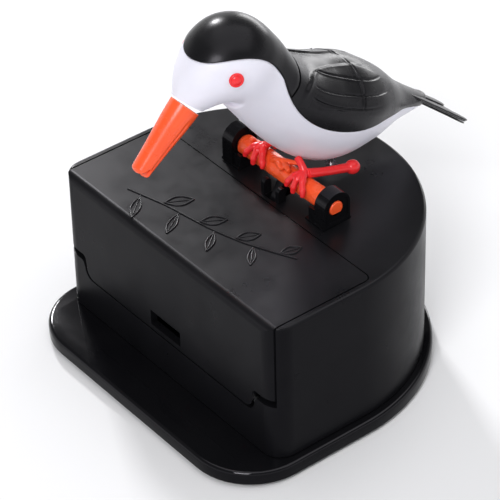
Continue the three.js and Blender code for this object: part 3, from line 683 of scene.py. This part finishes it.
def build_eye(side, node):
    """A domed eye with a raised ring, seated on the face."""
    low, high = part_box(node)
    centre = (low + high) / 2
    s, angle = locate((centre.y - FRONT_Y) / MM, centre.z / MM)
    angle *= side
    seat = skin(np.array(s), np.array(angle), np.array(WHITE_SKIN))
    lifted = skin(np.array(s), np.array(angle), np.array(WHITE_SKIN + 1))
    outward = Vector(lifted - seat).normalized()
    first = outward.orthogonal().normalized()
    second = outward.cross(first)
    base = point(*seat)
    # Radius and height: a stepped ring around a low dome.
    profile = [(1.78, -0.9), (1.8, 0.05), (1.74, 0.28), (1.55, 0.40), (1.38, 0.37), (1.26, 0.30),
               (1.15, 0.36), (0.95, 0.54), (0.66, 0.68), (0.34, 0.76), (0.02, 0.8)]
    fine = curve_at(profile, np.linspace(0, len(profile) - 1, 44))
    sides = 48
    rings = [[base + (first * math.cos(a) + second * math.sin(a)) * (r * MM) + outward * (h * MM)
              for a in circle(sides)] for r, h in fine]
    return new_piece(node + "_dome", tube_mesh(node + "_dome", rings), "bird", "red_plastic", [node], 50)

def build_perch():
    """The branch: a knotty bark skin between two flatted stubs."""
    half, end, radius, stub = 15.9, 19.9, 2.78, 1.98
    knots = [(-11.5, 0.6), (-3.2, 2.4), (3.6, -0.5), (12.0, 1.6)]
    rings = []
    sides = 56
    stations = np.concatenate([[-end, -end + 0.15], np.linspace(-end + 0.3, -half - 0.02, 5),
                               np.linspace(-half, half, 150), np.linspace(half + 0.02, end - 0.3, 5),
                               [end - 0.15, end]])
    for x in stations:
        inside = abs(x) <= half
        ring = []
        for a in circle(sides):
            if inside:
                edge = min(1.0, (half - abs(x)) / 0.35)
                grain = noise.noise(Vector((x * 0.22, math.cos(a) * 2.2, math.sin(a) * 2.2)))
                fine = noise.noise(Vector((x * 0.9, math.cos(a) * 4.0, math.sin(a) * 4.0)))
                r = radius - 0.14 + 0.16 * grain + 0.07 * fine - 0.3 * (1 - math.sqrt(1 - (1 - edge) ** 2))
                for kx, ka in knots:
                    turn = math.atan2(math.sin(a - ka), math.cos(a - ka))
                    r += 0.16 * math.exp(-((x - kx) / 0.8) ** 2 - (turn / 0.35) ** 2)
                r = min(r, radius + 0.12)
            else:
                r = stub - max(0.0, 0.3 - (end - abs(x))) * 0.6
            y, z = r * math.cos(a), r * math.sin(a)
            if not inside:
                z = max(z, -1.45)
            ring.append(point(x, PERCH_Y + y, PERCH_Z + z))
        rings.append(ring)
    # Two forked twigs between the feet and a stub near the left bracket, as points from the perch's axis.
    forks = [[(-3.6, -1.0, 2.0), (-1.2, -0.9, 3.3), (1.4, -0.2, 4.0), (3.8, 0.9, 4.3)],
             [(-1.4, -1.0, 2.9), (0.2, -1.9, 3.1), (1.9, -2.7, 3.0)],
             [(0.8, -0.5, 3.2), (2.6, -1.6, 3.6), (4.2, -2.2, 3.5)],
             [(-12.6, 0.3, 2.0), (-12.4, -0.4, 3.2), (-12.0, -1.0, 3.6)]]
    twigs = [bar_mesh("twig", [point(x, PERCH_Y + y, PERCH_Z + z) for x, y, z in fork],
                      lambda t: 1.0 - 0.45 * t, 14, 16) for fork in forks]
    mesh = joined("perch_branch", [tube_mesh("branch", rings)] + twigs, 0.16, 2)
    return new_piece("perch_branch", mesh, "bird", "orange_plastic", ["perch"], 50)

def joined(name, meshes, voxel, rounds):
    """Melts several closed meshes into one smooth skin."""
    bm = bmesh.new()
    for mesh in meshes:
        bm.from_mesh(mesh)
    whole = bpy.data.meshes.new(name)
    bm.to_mesh(whole)
    bm.free()
    obj = linked(name, whole)
    remesh = obj.modifiers.new("melt", "REMESH")
    remesh.mode = "VOXEL"
    remesh.voxel_size = voxel * MM
    soften = obj.modifiers.new("soften", "SMOOTH")
    soften.iterations = rounds
    soften.factor = 0.5
    result = evaluated_mesh(obj)
    result.name = name
    bpy.data.objects.remove(obj)
    return result

def build_foot(side, node):
    """A foot: knuckled toes over the perch, a short leg, and on the right one the heel bar and knob."""
    x = side * 7.8
    reach = 3.93             # from the perch's axis to the middle of a toe
    inner = 2.5 if side > 0 else 3.2
    toes = [(-inner, 176), (0.0, 186), (3.5, 176)]
    parts = []
    for spread, last in toes:
        path = []
        for t in np.linspace(0, 1, 7):
            a = math.radians(88 + (last - 88) * t)
            arched = reach + 0.5 * math.sin(math.pi * min(1, t * 1.15)) * (1 - t)
            path.append(point(x + spread * min(1, t * 1.3), PERCH_Y + arched * math.cos(a),
                              PERCH_Z + arched * math.sin(a)))

        def toe_radius(t):
            knuckles = 0.16 * math.exp(-((t - 0.40) / 0.07) ** 2) + 0.15 * math.exp(-((t - 0.72) / 0.07) ** 2)
            return (0.90 - 0.24 * t + knuckles) * math.sqrt(max(1 - max(0, (t - 0.9) / 0.1) ** 2, 0.02))
        parts.append(bar_mesh("toe", path, toe_radius))
    ankle = PERCH_Z + reach
    leg = [point(x, PERCH_Y - 0.2, ankle - 0.5), point(x * 0.88, PERCH_Y + 0.1, ankle + 0.9),
           point(x * 0.56, PERCH_Y + 0.4, ankle + 2.8)]
    parts.append(bar_mesh("leg", leg, lambda t: 1.1 - 0.2 * t, 16, 14))
    rear = [point(x - 0.2, PERCH_Y, ankle), point(x - 0.3, PERCH_Y + 2.6, PERCH_Z + 3.0),
            point(x - 0.4, PERCH_Y + 3.7, PERCH_Z + 1.2)]
    parts.append(bar_mesh("rear_toe", rear, lambda t: 0.85 - 0.25 * t, 14, 16))
    if side > 0:
        heel = [point(x + 0.4, PERCH_Y + 0.5, ankle), point(x + 1.2, PERCH_Y + 5.5, PERCH_Z + 2.6),
                point(x + 2.2, PERCH_Y + 13.2, PERCH_Z + 0.9)]
        parts.append(bar_mesh("heel_bar", heel, lambda t: 1.12 + 0.2 * abs(t - 0.5), 16, 30))
        outward = (heel[-1] - heel[-2]).normalized()
        knob = [heel[-1] + outward * (d * MM) for d in (-2.0, -0.7, 0.7, 2.0)]
        parts.append(bar_mesh("knob", knob, lambda t: 1.85 * math.sqrt(max(1 - (2 * t - 1) ** 2, 0.004)),
                              24, 24))
    mesh = joined(node + "_claw", parts, 0.16, 4)
    return new_piece(node + "_claw", mesh, "bird", "red_plastic", [node], 60)

# ---- the box
GAP = 0.3
WALL = 2.0
HOUSING_HALF = 43.0
HOUSING_CORNER = 5.5
ARC_Y = 27.3
BASE_BOTTOM = 1.0
BASE_TOP = 4.7
BASE_HALF = 45.2
BASE_FRONT = -13.2
BASE_CORNER = 17.0
COVER_HALF = 40.9
COVER_CORNER = 1.8
MOUTH_HALF = 41.3
LIP_BOTTOM = 16.3
LIP_HALF = 33.6
LIP_GAP = 0.8
NOTCH_BOTTOM = 22.7
WALL_MIDDLE = 15.8
WALL_CORNER = 20.7
WINDOW = (-6.6, 5.3, 17.6, 22.1)
HINGE_Y, HINGE_Z = 1.5, 18.5
PIN_BORE = 1.0
LEVER_X = 0.65
COVER_EAR = (29.5, 32.2)     # the cover's ears and the housing's posts beside them, across X
COVER_POST = (35.1, 41.2)
RAIL_X = (24, 27)            # two rails under the deck carry the slider
RAIL_Y = (28.8, 51)
RAIL_Z = (32.6, 34.2)
HANGER_Y = 48.6              # front face of the rails' hangers
LUG_X = (2.2, 3.4)           # from the lever's middle
LUG_Y = (32.6, 34.9)
LUG_CENTRE_Z = 48.0
BOSS_TOP = 12
BOSSES = [(-39.4, 12), (39.4, 12), (-22.5, 58.5), (22.5, 58.5)]

def arc(x, y, radius, start, stop, steps):
    """Points on a circle between two angles in degrees."""
    turns = [math.radians(start + (stop - start) * k / steps) for k in range(steps + 1)]
    return [(x + radius * math.cos(t), y + radius * math.sin(t)) for t in turns]

def d_outline(half, front, corner, steps=12):
    """Plan outline with a round back, straight sides and two rounded front corners."""
    return (arc(half - corner, front + corner, corner, -90, 0, steps)
            + arc(0, ARC_Y, half, 0, 180, 8 * steps)
            + arc(-half + corner, front + corner, corner, 180, 270, steps))

def prism_mesh(name, layers):
    """A closed solid through stacked plan outlines, each given as (points, z)."""
    return tube_mesh(name, [[point(x, y, z) for x, y in points] for points, z in layers], True)

def plate_mesh(name, outline, axis, low, high):
    """A flat plate: its outline is given in (y, z) for axis X, in (x, z) for Y and in (x, y) for Z."""
    def corner(a, b, depth):
        if axis == "X":
            return point(depth, a, b)
        if axis == "Y":
            return point(a, depth, b)
        return point(a, b, depth)
    return tube_mesh(name, [[corner(a, b, depth) for a, b in outline] for depth in (low, high)], True)

def block_mesh(x0, x1, y0, y1, z0, z1):
    return plate_mesh("block", [(x0, y0), (x1, y0), (x1, y1), (x0, y1)], "Z", z0, z1)

def rod_mesh(axis, radius, low, high, a, b, sides=40):
    return plate_mesh("rod", arc(a, b, radius, 0, 360 - 360 / sides, sides - 1), axis, low, high)

def mirrored(side, near, far):
    """A span to the left or right of the middle, from its lower x to its higher."""
    return sorted((side * near, side * far))

def combined(base, operations):
    """Cuts meshes from a base mesh or joins them to it, in order."""
    obj = linked("work", base)
    for operation, mesh in operations:
        tool = linked("tool", mesh)
        change = obj.modifiers.new("change", "BOOLEAN")
        change.operation = operation
        change.solver = "EXACT"
        change.object = tool
        result = evaluated_mesh(obj)
        obj.modifiers.clear()
        obj.data = result
        bpy.data.objects.remove(tool)
    result = obj.data
    bpy.data.objects.remove(obj)
    return result

def softened(obj, width, angle=35):
    """Rounds the sharp edges of a piece and keeps its flats evenly shaded."""
    rounded_edges(obj, width, 3, angle)
    even = obj.modifiers.new("even_flats", "WEIGHTED_NORMAL")
    even.keep_sharp = True
    even.weight = 100
    return obj

def rounded_layers(half, front, corner, bottom, top, bottom_round, top_round, steps=8):
    """Stacked outlines of a D-shaped solid with rounded bottom and top edges."""
    turns = [math.radians(90 * k / steps) for k in range(steps + 1)]
    edges = [(bottom_round * (1 - math.sin(t)), bottom + bottom_round * (1 - math.cos(t))) for t in turns]
    edges += [(top_round * (1 - math.cos(t)), top - top_round * (1 - math.sin(t))) for t in turns]
    return [(d_outline(half - inset, front + inset, corner - inset), z) for inset, z in edges]

def build_base_plate():
    layers = rounded_layers(BASE_HALF, BASE_FRONT, BASE_CORNER, BASE_BOTTOM, BASE_TOP, 0.3, 1.0)
    cuts = []
    for x, y in BOSSES:
        cuts.append(("DIFFERENCE", rod_mesh("Z", 3.0, BASE_BOTTOM - 1, BASE_BOTTOM + 1.9, x, y)))
        cuts.append(("DIFFERENCE", rod_mesh("Z", 1.5, BASE_BOTTOM, BASE_TOP + 1, x, y)))
    mesh = combined(prism_mesh("base_tray", layers), cuts)
    return new_piece("base_tray", mesh, "housing", "gloss_black_plastic", ["base_plate"], 30)

def lip_corner(out, low, high, radius=3.0, steps=12):
    """The cover's lower edge at its right corner, or the wall's edge under it, seen from the front."""
    centre = LIP_HALF + out - radius
    turns = [math.pi / 2 * k / steps for k in range(steps + 1)]
    points = [(centre + radius * math.sin(t), low + radius * (1 - math.cos(t))) for t in turns]
    bend = arc(LIP_HALF + out + 1.5, high - 1.2, 1.2, 170, 95, 5)
    return points + bend + [(LIP_HALF + out + 1.6, high)]

def rounded_rear(half, rear, corner):
    """Plan outline with rounded rear corners that runs out past the front face."""
    return [(-half, -1), (half, -1)] + arc(half - corner, rear - corner, corner, 0, 90, 10) \
        + arc(-half + corner, rear - corner, corner, 90, 180, 10)

def build_housing():
    bottom = BASE_TOP + GAP
    under_deck = DECK_Z - WALL
    layers = rounded_layers(HOUSING_HALF, 0, HOUSING_CORNER, bottom, DECK_Z, 0.15, 0.9)
    room = d_outline(HOUSING_HALF - WALL, WALL, HOUSING_CORNER - WALL)
    right = lip_corner(LIP_GAP, WALL_MIDDLE, WALL_CORNER)
    right += [(MOUTH_HALF, WALL_CORNER), (MOUTH_HALF, DECK_Z + 1)]
    mouth = [(-x, z) for x, z in reversed(right)] + right
    mouth_rear = COVER_REAR + GAP
    plan = rounded_rear(MOUTH_HALF, mouth_rear, COVER_CORNER + 0.35)
    mouth = combined(plate_mesh("mouth", mouth, "Y", -1, mouth_rear),
                     [("INTERSECT", plate_mesh("plan", plan, "Z", 1, 60))])
    steps = [("DIFFERENCE", prism_mesh("room", [(room, z) for z in (bottom - 1, under_deck)])),
             ("DIFFERENCE", mouth)]
    for side in (-1, 1):
        rail = mirrored(side, *RAIL_X)
        lug = sorted(LEVER_X + side * x for x in LUG_X)
        lug_side = [(y, DECK_Z - 1) for y in LUG_Y]
        lug_side += arc(sum(LUG_Y) / 2, LUG_CENTRE_Z, (LUG_Y[1] - LUG_Y[0]) / 2, 0, 180, 10)
        steps += [
            ("UNION", block_mesh(*mirrored(side, *COVER_POST), 1.5, 3.9, bottom, WALL_CORNER)),
            ("UNION", block_mesh(*rail, *RAIL_Y, *RAIL_Z)),
            ("UNION", block_mesh(*rail, HANGER_Y, RAIL_Y[1], RAIL_Z[0], DECK_Z - 1)),
            ("UNION", plate_mesh("lug", lug_side, "X", *lug)),
            ("DIFFERENCE", rod_mesh("X", PIN_BORE, *mirrored(side, 32.5, 37.9), HINGE_Y, HINGE_Z)),
        ]
    for x, y in BOSSES:
        steps.append(("UNION", rod_mesh("Z", 3.2, bottom, BOSS_TOP, x, y)))
        steps.append(("DIFFERENCE", rod_mesh("Z", 1.4, bottom - 1, BOSS_TOP - 0.8, x, y)))
    spring_seat = block_mesh(-5, 6.3, 63.9, 67, 30, DECK_Z - 1)
    spring_guide = block_mesh(LEVER_X - 1.2, LEVER_X + 1.2, 48.5, 65, 34.5, 36.9)
    lever_slot = block_mesh(LEVER_X - 1.9, LEVER_X + 1.9, 32.4, 43.8, 40, DECK_Z + 1)
    steps += [("UNION", spring_seat), ("UNION", spring_guide), ("DIFFERENCE", lever_slot)]
    mesh = combined(prism_mesh("housing_body", layers), steps)
    obj = new_piece("housing_body", mesh, "housing", "satin_black_plastic", ["housing_shell"], 30)
    return softened(obj, 0.22)

def build_cover():
    fillet = 2.3
    top_edge = arc(fillet, DECK_Z - fillet, fillet, 180, 90, 16)
    profile = [(0, LIP_BOTTOM)] + top_edge + [(COVER_REAR, DECK_Z), (COVER_REAR, DECK_Z - WALL),
                                              (WALL, DECK_Z - WALL), (WALL, LIP_BOTTOM)]
    body = plate_mesh("cover_lid", profile, "X", -COVER_HALF - 1, COVER_HALF + 1)
    plan = rounded_rear(COVER_HALF, COVER_REAR, COVER_CORNER)
    front = d_outline(HOUSING_HALF, 0, HOUSING_CORNER)
    steps = [("INTERSECT", plate_mesh("plan", plan, "Z", 5, 60)),
             ("INTERSECT", plate_mesh("front", front, "Z", 5, 60))]
    for side in (-1, 1):
        lower = [(LIP_HALF - 3.0, 5), (LIP_HALF + 9, 5), (LIP_HALF + 9, NOTCH_BOTTOM)]
        lower += list(reversed(lip_corner(0, LIP_BOTTOM, NOTCH_BOTTOM)))
        lower = [(side * x, z) for x, z in lower]
        steps.append(("DIFFERENCE", plate_mesh("lower", lower, "Y", -1, WALL + 1)))
        steps.append(("UNION", block_mesh(*mirrored(side, *COVER_EAR), WALL - 0.5, 3.8, LIP_BOTTOM, 22)))
        steps.append(("DIFFERENCE", rod_mesh("X", PIN_BORE, *mirrored(side, 30, 36), HINGE_Y, HINGE_Z)))
    left, right, low, high = WINDOW
    steps.append(("DIFFERENCE", block_mesh(left, right, -1, WALL + 1, low, high)))
    obj = new_piece("cover_lid", combined(body, steps), "cover", "satin_black_plastic", ["front_cover"], 30)
    return softened(obj, 0.25)

def build_bracket(side, node):
    """An arched bracket with a raised rim, a cradle on its inner side and a thin plinth."""
    half, inner, outer, cradle = 4.1, 16.2, 20.0, 13.4
    foot = DECK_Z + GAP
    centre = PERCH_Z + 0.5
    arch = [(PERCH_Y - half, foot), (PERCH_Y + half, foot)] + arc(PERCH_Y, centre, half, 0, 180, 40)
    rim = 0.65
    inset = [(PERCH_Y - half + rim, foot + 1.1), (PERCH_Y + half - rim, foot + 1.1)]
    inset += arc(PERCH_Y, centre, half - rim, 0, 180, 36)
    low, high = mirrored(side, cradle, inner + 1)
    body = plate_mesh(node + "_arch", arch, "X", *mirrored(side, inner, outer))
    steps = [
        ("UNION", block_mesh(low, high, PERCH_Y - half + 0.5, PERCH_Y + half - 0.5, foot, PERCH_Z - 1.2)),
        ("UNION", block_mesh(*mirrored(side, cradle - 0.3, outer - 0.05),
                             PERCH_Y - half - 0.35, PERCH_Y + half + 0.35, foot, foot + 0.6)),
        ("DIFFERENCE", plate_mesh("inset", inset, "X", *mirrored(side, outer - 0.35, outer + 1))),
        ("DIFFERENCE", rod_mesh("X", 3.15, *mirrored(side, cradle - 2, inner), PERCH_Y, PERCH_Z)),
        ("DIFFERENCE", rod_mesh("X", 2.25, *mirrored(side, inner - 1, outer + 1), PERCH_Y, PERCH_Z)),
    ]
    obj = new_piece(node + "_arch", combined(body, steps), "housing", "gloss_black_plastic", [node], 30)
    return softened(obj, 0.2, 30)

def build_sprig():
    """A generic leafy sprig, standing about 0.25 mm proud of the cover's top."""
    z = DECK_Z - 0.04
    parts = []

    def bead(path, radius):
        parts.append(bar_mesh("bead", [point(px, py, z) for px, py in path], lambda t: radius, 8, 40))

    stem = curve_at([(-25, 8.0), (-13, 11.2), (0, 13.4), (12, 16.8), (24, 22.2)], np.linspace(0, 4, 81))
    bead([tuple(p) for p in stem[::10]], 0.3)
    leaf = [(0, 0), (0.14, 0.10), (0.34, 0.20), (0.58, 0.22), (0.82, 0.12), (1, 0)]
    for k in range(8):
        place = stem[8 + 9 * k]
        ahead = stem[10 + 9 * k] - place
        turn = math.atan2(ahead[1], ahead[0]) + math.radians(48 if k % 2 else -66)
        size = (8.6 if k % 2 else 9.6) - 0.35 * k
        slender = 1.0 if k % 2 else 0.55

        def spot(u, v):
            return (place[0] + size * (u * math.cos(turn) - v * math.sin(turn)),
                    place[1] + size * (u * math.sin(turn) + v * math.cos(turn)))
        for sign in (-1, 1):
            bead([spot(0.12 + 0.88 * u, sign * v * slender) for u, v in leaf], 0.3)
        bead([spot(u, 0) for u in (0, 0.3, 0.6, 0.84)], 0.2)
    bm = bmesh.new()
    for mesh in parts:
        bm.from_mesh(mesh)
    mesh = mesh_from_bmesh("cover_sprig", bm)
    return new_piece("cover_sprig", mesh, "cover", "satin_black_plastic", (), 60)

def screw_cross(node, body):
    """A screw with a domed head and a cross recess, in place of its CAD stand-in."""
    low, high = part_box(node)
    centre = (low + high) / 2
    radius = (high.x - low.x) / 2 / MM
    bottom = low.z / MM
    top = high.z / MM
    x, y = centre.x / MM, (centre.y - FRONT_Y) / MM
    head = 0.9 if radius < 2 else 1.25
    profile = [(0.02, bottom), (radius * 0.72, bottom + 0.12), (radius * 0.97, bottom + 0.5),
               (radius, bottom + head), (radius * 0.45, bottom + head + 0.02), (radius * 0.44, top - 0.4),
               (0.02, top)]
    sides = 48
    rings = [[point(x + r * math.cos(a), y + r * math.sin(a), z)
              for a in circle(sides)] for r, z in profile]
    mesh = tube_mesh(node + "_cross", rings)
    obj = new_piece(node + "_cross", mesh, body, "steel", [node], 35)
    arm = radius * 0.55
    cutter = bmesh.new()
    for turn in (0, math.pi / 2):
        made = bmesh.ops.create_cube(cutter, size=1.0)
        size = Matrix.Diagonal((2 * arm * MM, 0.42 * MM, 1.2 * MM, 1))
        bmesh.ops.transform(cutter, verts=made["verts"], matrix=Matrix.Translation(point(x, y, bottom + 0.05))
                            @ Matrix.Rotation(turn + 0.3, 4, "Z") @ size)
    recess = bpy.data.meshes.new("recess")
    cutter.to_mesh(recess)
    cutter.free()
    tool = linked("recess", recess)
    cut = obj.modifiers.new("recess", "BOOLEAN")
    cut.operation = "DIFFERENCE"
    cut.use_self = True
    cut.object = tool
    result = evaluated_mesh(obj)
    obj.modifiers.clear()
    obj.data = result
    bpy.data.objects.remove(tool)
    return obj

def dress_cad_nodes():
    """Gives every CAD node that stays visible its slot's material."""
    slots = {entry["node"]: entry["material_slot"] for entry in frame["record"]["subparts"]}
    for name, obj in frame["nodes"].items():
        obj.data.materials.clear()
        obj.data.materials.append(MATERIALS[slots[name]])
        for polygon in obj.data.polygons:
            polygon.use_smooth = True
        obj.data.set_sharp_from_angle(angle=math.radians(35))

# ---- build
SIDES = (("left", -1), ("right", 1))
add_camera()
add_studio()
dress_cad_nodes()
build_base_plate()
build_housing()
build_cover()
for label, side in SIDES:
    build_bracket(side, f"perch_bracket_{label}")
refined("feed_slider", "slider", "satin_black_plastic")
refined("toothpick_hopper", "housing", "satin_black_plastic")
refined("feed_lever", "bird", "satin_black_plastic")
build_sprig()
build_white_body()
black_shell("head_cap_skin", first_black_section() + 0.002, NAPE - 0.012, 110, 110, None, ["head_cap"])
black_shell("back_wings_skin", NAPE + 0.012, LAST - 0.02, 400, 280, wing_relief, ["back_shell"])
build_tail()
build_beak()
build_perch()
for label, side in SIDES:
    build_eye(side, f"eye_{label}")
for label, side in SIDES:
    build_foot(side, f"foot_{label}")
for number in (1, 2, 3, 4):
    screw_cross(f"base_screw_{number}", "housing")
for number in (1, 2):
    screw_cross(f"belly_screw_{number}", "bird")
